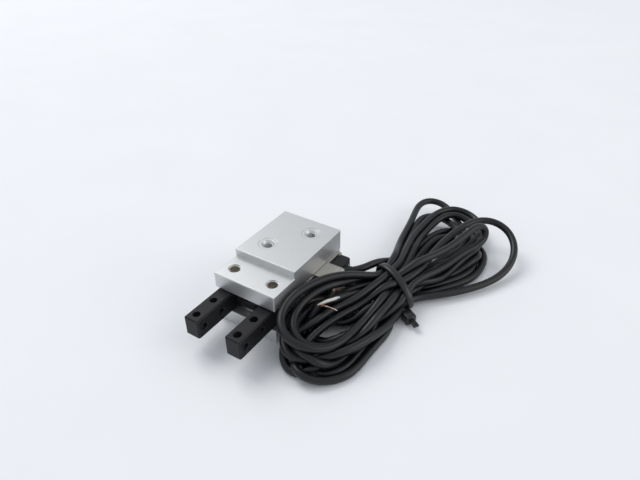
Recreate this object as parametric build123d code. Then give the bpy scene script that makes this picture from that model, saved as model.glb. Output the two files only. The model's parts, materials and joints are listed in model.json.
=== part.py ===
"""Two-jaw angular pneumatic gripper with two proximity switches and their tied leads.

Millimetres, +Z up.  The gripper lies on the wide face of its housing.  The origin is the
centre of that face, the jaws point along -Y and the switches are on the +X side.
"""
import math
import os

from build123d import *

os.makedirs("parts", exist_ok=True)

# ---------------------------------------------------------------- driving dimensions
# housing
BODY_W = 30.6            # along X
BODY_L = 50.2            # along Y
BODY_H = 28.0            # along Z
STEP_L = 14.0            # length of the lowered front step
STEP_H = 3.5             # how far the step is lowered
FORK_BOTTOM = 7.0        # top face of the lower fork plate
FORK_TOP = 17.4          # lower face of the upper fork plate
FORK_DEPTH = 16.1        # how far the fork runs back from the front
AXIS_Z = 12.2            # height of the cylinder axis and of the jaws' mid-plane
BORE_R = 8.0
FRONT_WALL = 8.0         # wall between fork and cylinder
EDGE = 0.3               # edge break on the housing

FRONT_Y = -BODY_L / 2
REAR_Y = BODY_L / 2
SIDE_X = BODY_W / 2
FORK_Y = FRONT_Y + FORK_DEPTH
BORE_Y = FORK_Y + FRONT_WALL

# mounting holes on the top face, on a diagonal
MOUNT_POINTS = [(-5.7, -0.6), (5.7, 15.7)]
MOUNT_R = 2.1            # M5 core
MOUNT_DEPTH = 7.0
SPOT_R = 4.25
SPOT_DEPTH = 0.15
MOUNT_LEAD_IN = 0.9      # countersink depth and width

# tapped holes in the rear face
REAR_HOLE_X = 11.6
REAR_HOLE_R = 1.65       # M4 core
REAR_HOLE_DEPTH = 6.0

# air ports on the -X side
PORT_R = 2.1             # M5 core
PORT_DEPTH = 4.5
PORT_Y = (2.0, 16.0)
PASSAGE_Y = (1.2, 14.1)
PASSAGE_R = 0.6

# groove along the switch side
GROOVE_Z = 16.8
GROOVE_H = 0.9
GROOVE_DEPTH = 0.7
GROOVE_START_Y = -6.0

# jaw pivots
PIVOT_X = 9.7
PIVOT_Y = -18.4
PIN_R = 2.25
PIN_RECESS = 0.25
PIN_RING_R = 2.75
PIN_RING_DEPTH = 0.5
RUN_GAP = 0.05           # radial clearance of every running fit

# jaws
JAW_BOTTOM = 7.6
JAW_TOP = 16.8
JAW_INNER_X = 6.8
JAW_OUTER_X = 14.0
JAW_TIP_Y = -45.5
JAW_BOSS_R = JAW_OUTER_X - PIVOT_X
JAW_CHAMFER = 0.6
JAW_HOLE_X = 10.4
JAW_HOLE_Y = (-41.85, -31.95)
JAW_HOLE_R = 1.65        # M4 core
JAW_HOLE_LEAD_IN = 0.3
TAIL_ROOT_R = 3.4
TAIL_END_R = 2.9
TAIL_GAP = 0.1           # each tail stands this far from the mid-plane
TAIL_T = 2.8
SLOT_HALF_W = 1.6
SLOT_TRAVEL = 0.55       # half of the slot's straight run
PIVOT_BUSH_R = 3.1

# piston rod and drive pin
ROD_R = 3.0
ROD_HEAD_W = 7.2
ROD_HEAD_FRONT = -21.9
ROD_HEAD_REAR = -11.9
ROD_SLOT_H = 6.2
ROD_SLOT_END = -13.9
ROD_SPIGOT_R = 2.0
DRIVE_PIN_R = 1.5
DRIVE_PIN_HALF = 4.4

# piston, its seal and its magnet
PISTON_FRONT = 2.75
PISTON_REAR = 13.25
PISTON_R = 7.94
SEAL_GROOVE = (3.9, 6.5)
SEAL_INNER_R = 5.6
SEAL_OUTER_R = 7.96
MAGNET_GROOVE = (8.1, 11.3)
MAGNET_INNER_R = 5.4
MAGNET_OUTER_R = 7.5

# front wall fittings
BUSH_R = 4.4
BUSH_END = -4.6
ROD_SEAL_R = 5.0
ROD_SEAL_END = -1.8
BUMPER_R = 7.2
BUMPER_HOLE_R = 4.2
BUMPER_T = 1.0

# rear cap
CAP_FRONT = 15.25
CAP_REAR = 21.6
CAP_R = 7.95
CAP_GROOVE = (17.4, 19.4)
CAP_GROOVE_R = 6.6
CAP_DIMPLE_R = 1.5
CLIP_T = 1.0
CLIP_R = 8.6
CLIP_INNER_R = 6.9

# switches on the +X side, one above the other
SWITCH_X = (16.3, 21.9)
SWITCH_Y = (-1.5, 23.3)
SWITCH_H = 7.1
SWITCH_Z = (1.6, 9.4)    # undersides of the lower and the upper switch
SWITCH_EDGE = 0.8
SWITCH_SCREW_Y = 21.4
SWITCH_SCREW_R = 0.95
SWITCH_SCREW_PROUD = 0.3
LAMP_Y = 0.6
LAMP_R = 0.55
LAMP_PROUD = 0.2

# sheet-metal bracket round the switches
SHEET = 1.0
BRACKET_TOP = 17.5
BRACKET_BOTTOM = 0.5
BRACKET_OUTER_X = 24.5
BRACKET_Y = (2.9, 13.5)
BRACKET_PLATE_Y = (2.9, 24.6)
BRACKET_BEND_R = 1.4
BRACKET_SCREW_Y = (5.5, 21.0)
BRACKET_SCREW_Z = 9.05
BRACKET_SCREW_R = 1.0
BRACKET_SCREW_LENGTH = 4.0
CLAMP_Y = 8.2
CLAMP_Z = 9.05
CLAMP_R = 1.5
CLAMP_PAD_T = 1.2
CLAMP_PROUD = 0.3
CLAMP_SLOT_DEPTH = 0.7
CLAMP_SLOT_HALF = 0.25

# leads: both leave slanted sleeves and run past the tie into the far lobe of the hank
CABLE_R = 1.7
SLEEVE_R = 2.3
SLEEVE_LENGTH = 4.8
SLEEVE_ANGLE = 38.0      # from +X towards +Y
SLEEVE_START = (21.0, 16.2)
SWITCH_MID_Z = [low + SWITCH_H / 2 for low in SWITCH_Z]
FIRST_RUN = 3.0          # straight stretch out of each sleeve
UPPER_ROUTE = [
    (29.2, 24.4, 13.2),
    (30.2, 28.8, 13.0),
    (31.6, 33.4, 11.8),
    (34.0, 38.2, 9.8),
    (37.0, 44.0, 7.8),
]
LOWER_ROUTE = [
    (29.0, 24.4, 4.6),
    (29.8, 28.8, 3.9),
    (31.0, 33.6, 3.1),
    (33.2, 38.6, 2.5),
    (36.2, 44.4, 2.3),
]
ARC_SHARE = 0.45         # share of the shorter run that an arc may take

# hank of both leads, tied at its waist and lying beside the housing
HANK_CENTRE = (43.3, 25.0)
HANK_ANGLE = 12.1        # the hank's length, from +Y towards +X
NEAR_LOBE = [
    (16.2, -5.0),
    (16.2, -21.0),
    (18.4, -29.0),
    (24.0, -37.0),
    (33.0, -40.2),
    (44.0, -39.8),
    (51.4, -30.0),
    (53.4, -8.0),
    (54.6, 27.0),
    (33.4, 31.5),
    (26.6, 17.0),
    (26.6, -5.0),
]
NEAR_LOBE_ROUNDS = (2.0, 6.0, 6.0, 8.0, 8.0, 8.0, 12.0, 20.0, 1.0, 1.0, 10.0, 1.0)
NEAR_LOBE_SIDE = [       # side view along Y: it leans up against the housing
    (15.0, 0.0),
    (15.0, 24.4),
    (21.5, 24.4),
    (34.0, 15.4),
    (55.0, 8.0),
    (55.0, 0.0),
]
FAR_LOBE = [
    (33.4, 31.5),
    (32.4, 42.0),
    (24.4, 68.0),
    (20.0, 96.0),
    (26.0, 107.0),
    (62.0, 111.0),
    (80.0, 92.0),
    (81.0, 64.0),
    (65.0, 38.0),
    (54.6, 27.0),
]
FAR_LOBE_ROUNDS = (1.0, 20.0, 60.0, 6.0, 10.0, 16.0, 14.0, 20.0, 20.0, 1.0)
FAR_LOBE_BOTTOM = 1.0
FAR_LOBE_TOP = 17.0
WAIST_HALF_LENGTH = 8.0
WAIST_HEIGHT = 8.0
WAIST_SECTION = (11.2, 6.0, 18.0)   # half width, half height and roll

# cable tie round the waist
TIE_W = 3.6
TIE_T = 1.2
TIE_HEAD = (5.4, 4.6, 4.2)
TIE_HEAD_AT = (54.9, 15.8, 2.6)
TIE_HEAD_ANGLE = -33.0   # direction of the cut tail, from +X towards +Y
TIE_TAIL = (4.0, 2.6, 1.2)
TIE_ANGLE = 25.0         # the strap sits slightly skew on the waist

# stripped ends of the leads
CORE_R = 0.65
CORE_BARE_R = 0.3
UPPER_CORES = [
    ((25.6, -9.6, 14.2), (31.9, -3.1, 16.9)),
    ((25.6, -9.6, 14.2), (34.4, -9.0, 15.1)),
]
LOWER_CORES = [
    ((26.4, 0.8, 14.4), (25.8, 6.0, 17.2)),
    ((26.4, 0.8, 14.4), (28.2, 4.8, 16.8)),
]

# ---------------------------------------------------------------- small helpers
def disc_y(radius, y_from, y_to, x=0.0, z=AXIS_Z):
    """Cylinder along Y between two stations."""
    length = y_to - y_from
    return Pos(x, (y_from + y_to) / 2, z) * Rot(90, 0, 0) * Cylinder(radius, length)


def ring_y(inner, outer, y_from, y_to):
    """Ring about the cylinder axis."""
    return disc_y(outer, y_from, y_to) - disc_y(inner, y_from - 1, y_to + 1)


def rod_z(radius, z_from, z_to, x, y):
    """Cylinder along Z between two heights."""
    return Pos(x, y, (z_from + z_to) / 2) * Cylinder(radius, z_to - z_from)


def rod_x(radius, x_from, x_to, y, z):
    """Cylinder along X between two stations."""
    return Pos((x_from + x_to) / 2, y, z) * Rot(0, 90, 0) * Cylinder(radius, x_to - x_from)


def block(x_range, y_range, z_range):
    """Box from its lowest to its highest corner."""
    size = [high - low for low, high in (x_range, y_range, z_range)]
    middle = [(high + low) / 2 for low, high in (x_range, y_range, z_range)]
    return Pos(*middle) * Box(*size)


def countersink_z(radius, depth, x, y, z):
    """Cone that widens upwards by its depth and ends at height z."""
    return Pos(x, y, z - depth / 2) * Cone(radius, radius + depth, depth)


def save(node, shape):
    """Write one node."""
    export_step(shape, f"parts/{node}.step")


# ---------------------------------------------------------------- housing
def housing_block():
    """Stepped block with broken edges."""
    body = block((-SIDE_X, SIDE_X), (FRONT_Y, REAR_Y), (0, BODY_H))
    step_y = FRONT_Y + STEP_L
    step_z = BODY_H - STEP_H
    body -= block((-SIDE_X - 1, SIDE_X + 1), (FRONT_Y - 1, step_y), (step_z, BODY_H + 1))
    outer_edges = [
        edge
        for edge in body.edges()
        if abs(edge.center().Y - step_y) > 0.01 or abs(edge.center().Z - step_z) > 0.01
    ]
    return chamfer(outer_edges, EDGE)


def fork_opening():
    """Slot between the two fork plates, open to the front and both sides."""
    return block((-SIDE_X - 1, SIDE_X + 1), (FRONT_Y - 1, FORK_Y), (FORK_BOTTOM, FORK_TOP))


def cylinder_cavity():
    """Bore, front wall counterbores and the groove of the retaining ring."""
    cavity = disc_y(BORE_R, BORE_Y, REAR_Y + 1)
    cavity += disc_y(BUSH_R, FORK_Y - 1, BUSH_END)
    cavity += disc_y(ROD_SEAL_R, BUSH_END, BORE_Y + 0.1)
    cavity += disc_y(CLIP_R, CAP_REAR, CAP_REAR + CLIP_T)
    return cavity


def top_mount_holes():
    """Two tapped holes with a spot face and a lead-in."""
    holes = []
    for x, y in MOUNT_POINTS:
        top = BODY_H - SPOT_DEPTH
        holes.append(rod_z(MOUNT_R, BODY_H - MOUNT_DEPTH, BODY_H, x, y))
        holes.append(rod_z(SPOT_R, top, BODY_H + 1, x, y))
        holes.append(countersink_z(MOUNT_R, MOUNT_LEAD_IN, x, y, top))
    return holes


def rear_holes():
    """Two tapped holes beside the cylinder mouth."""
    return [
        disc_y(REAR_HOLE_R, REAR_Y - REAR_HOLE_DEPTH, REAR_Y + 1, x=side * REAR_HOLE_X)
        for side in (-1, 1)
    ]


def air_ways():
    """Two tapped ports and the passages that join them to the cylinder."""
    ways = []
    floor_x = -SIDE_X + PORT_DEPTH
    for port_y, passage_y in zip(PORT_Y, PASSAGE_Y):
        ways.append(rod_x(PORT_R, -SIDE_X - 1, floor_x, port_y, AXIS_Z))
        ways.append(rod_x(PASSAGE_R, floor_x - 0.5, -BORE_R + 0.5, passage_y, AXIS_Z))
    return ways


def pin_holes():
    """Press holes of the pivot pins, with a shallow ring round each top end."""
    top = BODY_H - STEP_H
    holes = []
    for side in (-1, 1):
        x = side * PIVOT_X
        holes.append(rod_z(PIN_R, -1, BODY_H, x, PIVOT_Y))
        holes.append(rod_z(PIN_RING_R, top - PIN_RING_DEPTH, BODY_H, x, PIVOT_Y))
    return holes


def side_groove():
    """Shallow groove above the switch bracket."""
    return block(
        (SIDE_X - GROOVE_DEPTH, SIDE_X + 1),
        (GROOVE_START_Y, REAR_Y + 1),
        (GROOVE_Z, GROOVE_Z + GROOVE_H),
    )


def housing():
    body = housing_block() - fork_opening() - cylinder_cavity() - side_groove()
    for cut in top_mount_holes() + rear_holes() + air_ways() + pin_holes():
        body -= cut
    for y in BRACKET_SCREW_Y:
        body -= rod_x(BRACKET_SCREW_R, SIDE_X - BRACKET_SCREW_LENGTH, SIDE_X + 1, y, BRACKET_SCREW_Z)
    return body


# ---------------------------------------------------------------- jaws and their pivots
def pivot_pin(side):
    pin = rod_z(PIN_R, PIN_RECESS, BODY_H - STEP_H - PIN_RECESS, side * PIVOT_X, PIVOT_Y)
    return chamfer(pin.edges().filter_by(GeomType.CIRCLE), 0.3)


def pivot_bush(side):
    outer = rod_z(PIVOT_BUSH_R, JAW_BOTTOM, JAW_TOP, side * PIVOT_X, PIVOT_Y)
    return outer - rod_z(PIN_R + RUN_GAP, 0, BODY_H, side * PIVOT_X, PIVOT_Y)


def jaw_bar():
    """Straight finger of the +X jaw with its tapped holes."""
    bar = block((JAW_INNER_X, JAW_OUTER_X), (JAW_TIP_Y, PIVOT_Y), (JAW_BOTTOM, JAW_TOP))
    tip_edges = bar.faces().sort_by(Axis.Y)[0].edges()
    long_edges = bar.edges().filter_by(Axis.Y)
    bar = chamfer(tip_edges + long_edges, JAW_CHAMFER)
    bar += rod_z(JAW_BOSS_R, JAW_BOTTOM, JAW_TOP, PIVOT_X, PIVOT_Y)
    for y in JAW_HOLE_Y:
        bar -= rod_z(JAW_HOLE_R, JAW_BOTTOM - 1, JAW_TOP + 1, JAW_HOLE_X, y)
        bar -= rod_x(JAW_HOLE_R, JAW_INNER_X - 1, JAW_OUTER_X + 1, y, AXIS_Z)
        bar -= countersink_z(JAW_HOLE_R, JAW_HOLE_LEAD_IN, JAW_HOLE_X, y, JAW_TOP)
    return bar


def jaw_tail():
    """Lever from the pivot to the drive pin, above the mid-plane, with its slot."""
    low = AXIS_Z + TAIL_GAP
    high = low + TAIL_T
    outline = make_hull(
        (Pos(PIVOT_X, PIVOT_Y) * Circle(TAIL_ROOT_R)).edges()
        + (Pos(0, PIVOT_Y) * Circle(TAIL_END_R)).edges()
    )
    tail = extrude(Pos(0, 0, low) * outline, high - low)
    slot = block(
        (-SLOT_TRAVEL, SLOT_TRAVEL),
        (PIVOT_Y - SLOT_HALF_W, PIVOT_Y + SLOT_HALF_W),
        (low - 1, high + 1),
    )
    for end in (-SLOT_TRAVEL, SLOT_TRAVEL):
        slot += rod_z(SLOT_HALF_W, low - 1, high + 1, end, PIVOT_Y)
    return tail - slot


def jaw(side):
    """One jaw: both are the same part, the -X one turned over about the Y axis."""
    shape = jaw_bar() + jaw_tail()
    shape -= rod_z(PIVOT_BUSH_R, 0, BODY_H, PIVOT_X, PIVOT_Y)
    if side < 0:
        turned = Pos(0, 0, AXIS_Z) * Rot(0, 180, 0) * Pos(0, 0, -AXIS_Z)
        shape = turned * shape
    return shape


# ---------------------------------------------------------------- piston group
def piston_rod():
    """Rod with a forked head for the jaw tails and a threaded rear spigot."""
    half = ROD_HEAD_W / 2
    head = block((-half, half), (ROD_HEAD_FRONT, ROD_HEAD_REAR), (JAW_BOTTOM, JAW_TOP))
    head = chamfer(head.edges().filter_by(Axis.Z), 0.5)
    head -= block(
        (-half - 1, half + 1),
        (ROD_HEAD_FRONT - 1, ROD_SLOT_END),
        (AXIS_Z - ROD_SLOT_H / 2, AXIS_Z + ROD_SLOT_H / 2),
    )
    head -= rod_z(DRIVE_PIN_R, 0, BODY_H, 0, PIVOT_Y)
    rod = head + disc_y(ROD_R, ROD_HEAD_REAR - 0.5, PISTON_FRONT)
    return rod + disc_y(ROD_SPIGOT_R, PISTON_FRONT - 0.5, PISTON_REAR - 1)


def drive_pin():
    pin = rod_z(DRIVE_PIN_R, AXIS_Z - DRIVE_PIN_HALF, AXIS_Z + DRIVE_PIN_HALF, 0, PIVOT_Y)
    return chamfer(pin.edges().filter_by(GeomType.CIRCLE), 0.25)


def piston():
    body = disc_y(PISTON_R, PISTON_FRONT, PISTON_REAR)
    body = chamfer(body.edges().filter_by(GeomType.CIRCLE), 0.4)
    body -= ring_y(SEAL_INNER_R, PISTON_R + 1, *SEAL_GROOVE)
    body -= ring_y(MAGNET_INNER_R, PISTON_R + 1, *MAGNET_GROOVE)
    return body - disc_y(ROD_SPIGOT_R, PISTON_FRONT - 1, PISTON_REAR - 1)


def piston_seal():
    """Lip ring: its outer land is narrower than its groove."""
    front, rear = SEAL_GROOVE
    ring = ring_y(SEAL_INNER_R, SEAL_OUTER_R, front, rear)
    return chamfer(ring.edges().filter_by(GeomType.CIRCLE).sort_by(SortBy.RADIUS)[-2:], 0.6)


def piston_magnet():
    return ring_y(MAGNET_INNER_R, MAGNET_OUTER_R, *MAGNET_GROOVE)


# ---------------------------------------------------------------- cylinder fittings
def rod_bush():
    return ring_y(ROD_R + RUN_GAP, BUSH_R, FORK_Y, BUSH_END)


def rod_seal():
    return ring_y(ROD_R + RUN_GAP, ROD_SEAL_R, BUSH_END, ROD_SEAL_END)


def seal_retainer():
    return ring_y(ROD_R + 0.3, ROD_SEAL_R, ROD_SEAL_END, BORE_Y)


def bumper(y_from):
    ring = ring_y(BUMPER_HOLE_R, BUMPER_R, y_from, y_from + BUMPER_T)
    return chamfer(ring.edges().filter_by(GeomType.CIRCLE), 0.2)


def end_cap():
    cap = disc_y(CAP_R, CAP_FRONT, CAP_REAR)
    cap = chamfer(cap.edges().filter_by(GeomType.CIRCLE), 0.3)
    cap -= ring_y(CAP_GROOVE_R, CAP_R + 1, *CAP_GROOVE)
    return cap - disc_y(CAP_DIMPLE_R, CAP_REAR - 2.5, CAP_REAR + 1)


def cap_ring():
    """O-ring squeezed between the end cap and the bore."""
    front, rear = CAP_GROOVE
    section_r = (BORE_R - CAP_GROOVE_R) / 2
    path_r = CAP_GROOVE_R + section_r
    return Pos(0, (front + rear) / 2, AXIS_Z) * Rot(90, 0, 0) * Torus(path_r, section_r)


def retaining_ring():
    """Internal circlip with two eyed ends and a gap between them."""
    ring = ring_y(CLIP_INNER_R, CLIP_R, CAP_REAR, CAP_REAR + CLIP_T)
    gap = block((-1.6, 1.6), (CAP_REAR - 1, CAP_REAR + 2), (0, AXIS_Z))
    ring -= gap
    for side in (-1, 1):
        eye = disc_y(1.4, CAP_REAR, CAP_REAR + CLIP_T, x=side * 2.6, z=AXIS_Z - CLIP_INNER_R + 0.4)
        hole = disc_y(0.5, CAP_REAR - 1, CAP_REAR + 2, x=side * 2.6, z=AXIS_Z - CLIP_INNER_R + 0.4)
        ring += eye
        ring -= hole
    return ring


# ---------------------------------------------------------------- switches and bracket
def switch(low):
    """Moulded switch body with rounded edges."""
    shape = block(SWITCH_X, SWITCH_Y, (low, low + SWITCH_H))
    rear_corners = shape.edges().filter_by(Axis.Z).sort_by(Axis.Y)[-2:]
    shape = fillet(rear_corners, SWITCH_EDGE * 1.5)
    shape = fillet(shape.edges().filter_by(Axis.Y), SWITCH_EDGE)
    middle = low + SWITCH_H / 2
    shape -= rod_x(SWITCH_SCREW_R, SWITCH_X[1] - 2, SWITCH_X[1] + 1, SWITCH_SCREW_Y, middle)
    return shape - rod_x(LAMP_R, SWITCH_X[1] - 0.6, SWITCH_X[1] + 1, LAMP_Y, middle)


def switch_screws():
    """Slotted trimming screws, one in each switch."""
    screws = []
    for z in SWITCH_MID_Z:
        face = SWITCH_X[1] + SWITCH_SCREW_PROUD
        screw = rod_x(SWITCH_SCREW_R, SWITCH_X[1] - 2, face, SWITCH_SCREW_Y, z)
        screw -= block((face - 0.35, face + 1), (0, BODY_L), (z - 0.15, z + 0.15))
        screws.append(screw)
    return screws


def switch_lamps():
    """Round indicator windows, one in each switch."""
    return [
        rod_x(LAMP_R, SWITCH_X[1] - 0.6, SWITCH_X[1] + LAMP_PROUD, LAMP_Y, z)
        for z in SWITCH_MID_Z
    ]


def switch_bracket():
    """Back plate on the housing, with a band that wraps round both switches."""
    plate = block((SIDE_X, SIDE_X + SHEET), BRACKET_PLATE_Y, (BRACKET_BOTTOM, BRACKET_TOP))
    plate = chamfer(plate.edges().filter_by(Axis.X).sort_by(Axis.Y)[-2:], 1.5)
    band = block((SIDE_X, BRACKET_OUTER_X), BRACKET_Y, (BRACKET_BOTTOM, BRACKET_TOP))
    band = fillet(band.edges().filter_by(Axis.Y).sort_by(Axis.X)[-2:], BRACKET_BEND_R)
    inside = block(
        (SIDE_X, BRACKET_OUTER_X - SHEET),
        (BRACKET_Y[0] - 1, BRACKET_Y[1] + 1),
        (BRACKET_BOTTOM + SHEET, BRACKET_TOP - SHEET),
    )
    inside = fillet(inside.edges().filter_by(Axis.Y).sort_by(Axis.X)[-2:], BRACKET_BEND_R - SHEET)
    shape = plate + (band - inside)
    for y in BRACKET_SCREW_Y:
        shape -= screw_shape(y)
    return shape - rod_x(CLAMP_R, SWITCH_X[1], BRACKET_OUTER_X + 1, CLAMP_Y, CLAMP_Z)


def screw_shape(y):
    """Countersunk screw, flush with the back plate."""
    shank = rod_x(BRACKET_SCREW_R, SIDE_X - BRACKET_SCREW_LENGTH, SIDE_X + SHEET, y, BRACKET_SCREW_Z)
    head = Cone(BRACKET_SCREW_R, BRACKET_SCREW_R + SHEET * 0.9, SHEET * 0.9)
    return shank + Pos(SIDE_X + SHEET * 0.55, y, BRACKET_SCREW_Z) * Rot(0, 90, 0) * head


def bracket_screws():
    """Both bracket screws, each with a driver socket."""
    screws = []
    for y in BRACKET_SCREW_Y:
        socket = Pos(SIDE_X + SHEET, y, BRACKET_SCREW_Z) * Rot(0, 90, 0)
        hexagon = extrude(RegularPolygon(0.7, 6), 0.7, both=True)
        screws.append(screw_shape(y) - socket * hexagon)
    return screws


def clamp_screw():
    """Slotted set screw through the band that presses the clamp pad."""
    outer = BRACKET_OUTER_X + CLAMP_PROUD
    screw = rod_x(CLAMP_R, SWITCH_X[1] + CLAMP_PAD_T, outer, CLAMP_Y, CLAMP_Z)
    slot = block(
        (outer - CLAMP_SLOT_DEPTH, outer + 1),
        (CLAMP_Y - 2 * CLAMP_R, CLAMP_Y + 2 * CLAMP_R),
        (CLAMP_Z - CLAMP_SLOT_HALF, CLAMP_Z + CLAMP_SLOT_HALF),
    )
    return screw - slot


def clamp_pad():
    """Strip between the band and both switches."""
    pad = block(
        (SWITCH_X[1], SWITCH_X[1] + CLAMP_PAD_T),
        (BRACKET_Y[0] + 0.8, BRACKET_Y[1] - 0.8),
        (SWITCH_Z[0] + 1.2, SWITCH_Z[1] + SWITCH_H - 1.2),
    )
    return chamfer(pad.edges().filter_by(Axis.X), 0.8)


# ---------------------------------------------------------------- leads and hank
def beyond_sleeve(distance, z):
    """Point on a sleeve's axis, counted from the sleeve's inner end."""
    angle = math.radians(SLEEVE_ANGLE)
    x, y = SLEEVE_START
    return (x + distance * math.cos(angle), y + distance * math.sin(angle), z)


def lead_route(z, route):
    """Route of a lead from the end of its sleeve into the hank."""
    start = beyond_sleeve(SLEEVE_LENGTH, z)
    first = beyond_sleeve(SLEEVE_LENGTH + FIRST_RUN, z)
    return [start, first] + route


def lead_sleeve(low):
    """Slanted strain relief, cut off flat where it meets the switch."""
    z = low + SWITCH_H / 2
    turn = Pos(*SLEEVE_START, z) * Rot(0, 0, SLEEVE_ANGLE) * Rot(0, 90, 0)
    sleeve = turn * (Pos(0, 0, SLEEVE_LENGTH / 2) * Cone(SLEEVE_R, CABLE_R + 0.3, SLEEVE_LENGTH))
    return sleeve - block((0, SWITCH_X[1]), SWITCH_Y, (0, BODY_H))


def arc_radii(points):
    """Radius of the arc at each inner point of a route."""
    radii = []
    for before, here, after in zip(points, points[1:], points[2:]):
        arriving = Vector(*here) - Vector(*before)
        leaving = Vector(*after) - Vector(*here)
        turn = math.radians(arriving.get_angle(leaving))
        shorter = min(arriving.length, leaving.length)
        radii.append(ARC_SHARE * shorter / math.tan(turn / 2))
    return radii


def lead(points):
    """Round tube along straight runs joined by tangent arcs."""
    radii = arc_radii(points)
    path = FilletPolyline(*points, radius=radii)
    section = Plane(origin=path @ 0, z_dir=path % 0) * Circle(CABLE_R)
    tube = sweep(section, path=path)
    print("lead radii", [round(radius, 1) for radius in radii])
    expected = path.length * math.pi * CABLE_R**2
    print("lead length", round(path.length, 1), "volume ratio", round(tube.volume / expected, 4))
    return tube


def outline(points, rounds):
    """Flat face with each corner rounded by its own radius."""
    face = make_face(Polyline(*points, close=True))
    for point, radius in zip(points, rounds):
        corner = face.vertices().sort_by_distance((*point, 0))[0]
        face = fillet(corner, radius)
    return face


def waist_plane(degrees=HANK_ANGLE):
    """Plane across the hank at its middle, rolled with the bundle."""
    angle = math.radians(degrees)
    across = (math.cos(angle), -math.sin(angle), 0)
    back = (-math.sin(angle), -math.cos(angle), 0)
    plane = Plane(origin=(*HANK_CENTRE, WAIST_HEIGHT), x_dir=across, z_dir=back)
    return plane * Rot(0, 0, -WAIST_SECTION[2])


def near_lobe():
    """Lobe beside the jaws: high where it leans on the housing, low at its outer edge."""
    prism = extrude(outline(NEAR_LOBE, NEAR_LOBE_ROUNDS), BODY_H)
    side_view = Plane.XZ * make_face(Polyline(*NEAR_LOBE_SIDE, close=True))
    return prism & extrude(side_view, BODY_L, both=True)


def far_lobe():
    """Wider, flatter lobe behind the tie."""
    prism = extrude(outline(FAR_LOBE, FAR_LOBE_ROUNDS), FAR_LOBE_TOP - FAR_LOBE_BOTTOM)
    prism = fillet(prism.edges().group_by(Axis.Z)[-1], 4.0)
    return Pos(0, 0, FAR_LOBE_BOTTOM) * prism


def hank():
    """Closed solid of the outer shape of the wound leads: two lobes and a waist."""
    clear_of_tie = waist_plane() * Box(60, 60, 2 * WAIST_HALF_LENGTH)
    waist = extrude(waist_plane() * Ellipse(*WAIST_SECTION[:2]), WAIST_HALF_LENGTH + 4, both=True)
    return (near_lobe() + far_lobe() - clear_of_tie) + waist


def tie_strap():
    """Band of the cable tie, hugging the waist."""
    half_w, half_h = WAIST_SECTION[:2]
    band = Ellipse(half_w + TIE_T, half_h + TIE_T) - Ellipse(half_w, half_h)
    return extrude(waist_plane(TIE_ANGLE) * band, TIE_W / 2, both=True)


def tie_head():
    """Ratchet block of the cable tie with the cut end of the strap."""
    place = Pos(*TIE_HEAD_AT) * Rot(0, 0, TIE_HEAD_ANGLE)
    head = fillet(Box(*TIE_HEAD).edges(), 0.6)
    tail = Pos((TIE_HEAD[0] + TIE_TAIL[0]) / 2, 0, 0) * Box(*TIE_TAIL)
    return place * (head + tail)


def cores(pairs):
    """Stripped conductors: an insulated stretch and a thinner bare tip."""
    solids = []
    for start, end in pairs:
        run = Vector(*end) - Vector(*start)
        along = Plane(origin=start, z_dir=run)
        insulated = Pos(0, 0, run.length * 0.4) * Cylinder(CORE_R, run.length * 0.8)
        bare = Pos(0, 0, run.length * 0.9) * Cylinder(CORE_BARE_R, run.length * 0.2)
        solids.append(along * (insulated + bare))
    return solids


# ---------------------------------------------------------------- every node
def group(solids):
    """Several separate solids in one node."""
    return Compound(children=list(solids))


SINGLE_NODES = {
    "housing": housing(),
    "rod_bush": rod_bush(),
    "rod_seal": rod_seal(),
    "seal_retainer": seal_retainer(),
    "front_bumper": bumper(BORE_Y),
    "rear_bumper": bumper(CAP_FRONT - BUMPER_T),
    "end_cap": end_cap(),
    "end_cap_ring": cap_ring(),
    "retaining_ring": retaining_ring(),
    "pivot_pin_right": pivot_pin(1),
    "pivot_pin_left": pivot_pin(-1),
    "jaw_right": jaw(1),
    "jaw_left": jaw(-1),
    "pivot_bush_right": pivot_bush(1),
    "pivot_bush_left": pivot_bush(-1),
    "piston_rod": piston_rod(),
    "drive_pin": drive_pin(),
    "piston": piston(),
    "piston_seal": piston_seal(),
    "piston_magnet": piston_magnet(),
    "switch_bracket": switch_bracket(),
    "clamp_screw": clamp_screw(),
    "clamp_pad": clamp_pad(),
    "switch_lower": switch(SWITCH_Z[0]),
    "switch_upper": switch(SWITCH_Z[1]),
    "lead_sleeve_lower": lead_sleeve(SWITCH_Z[0]),
    "lead_sleeve_upper": lead_sleeve(SWITCH_Z[1]),
    "lead_lower": lead(lead_route(SWITCH_MID_Z[0], LOWER_ROUTE)),
    "lead_upper": lead(lead_route(SWITCH_MID_Z[1], UPPER_ROUTE)),
    "lead_hank": hank(),
    "tie_strap": tie_strap(),
    "tie_head": tie_head(),
}
GROUPED_NODES = {
    "bracket_screws": bracket_screws(),
    "switch_screws": switch_screws(),
    "switch_lamps": switch_lamps(),
    "cores_lower": cores(LOWER_CORES),
    "cores_upper": cores(UPPER_CORES),
}

for name, shape in SINGLE_NODES.items():
    save(name, shape)
for name, solids in GROUPED_NODES.items():
    save(name, group(solids))
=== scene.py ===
"""Looks of a two-jaw pneumatic gripper with two switch leads wound into one tied hank. Metres."""
import json
import math

import bmesh
import bpy
import numpy as np
from mathutils import Matrix, Vector


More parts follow.
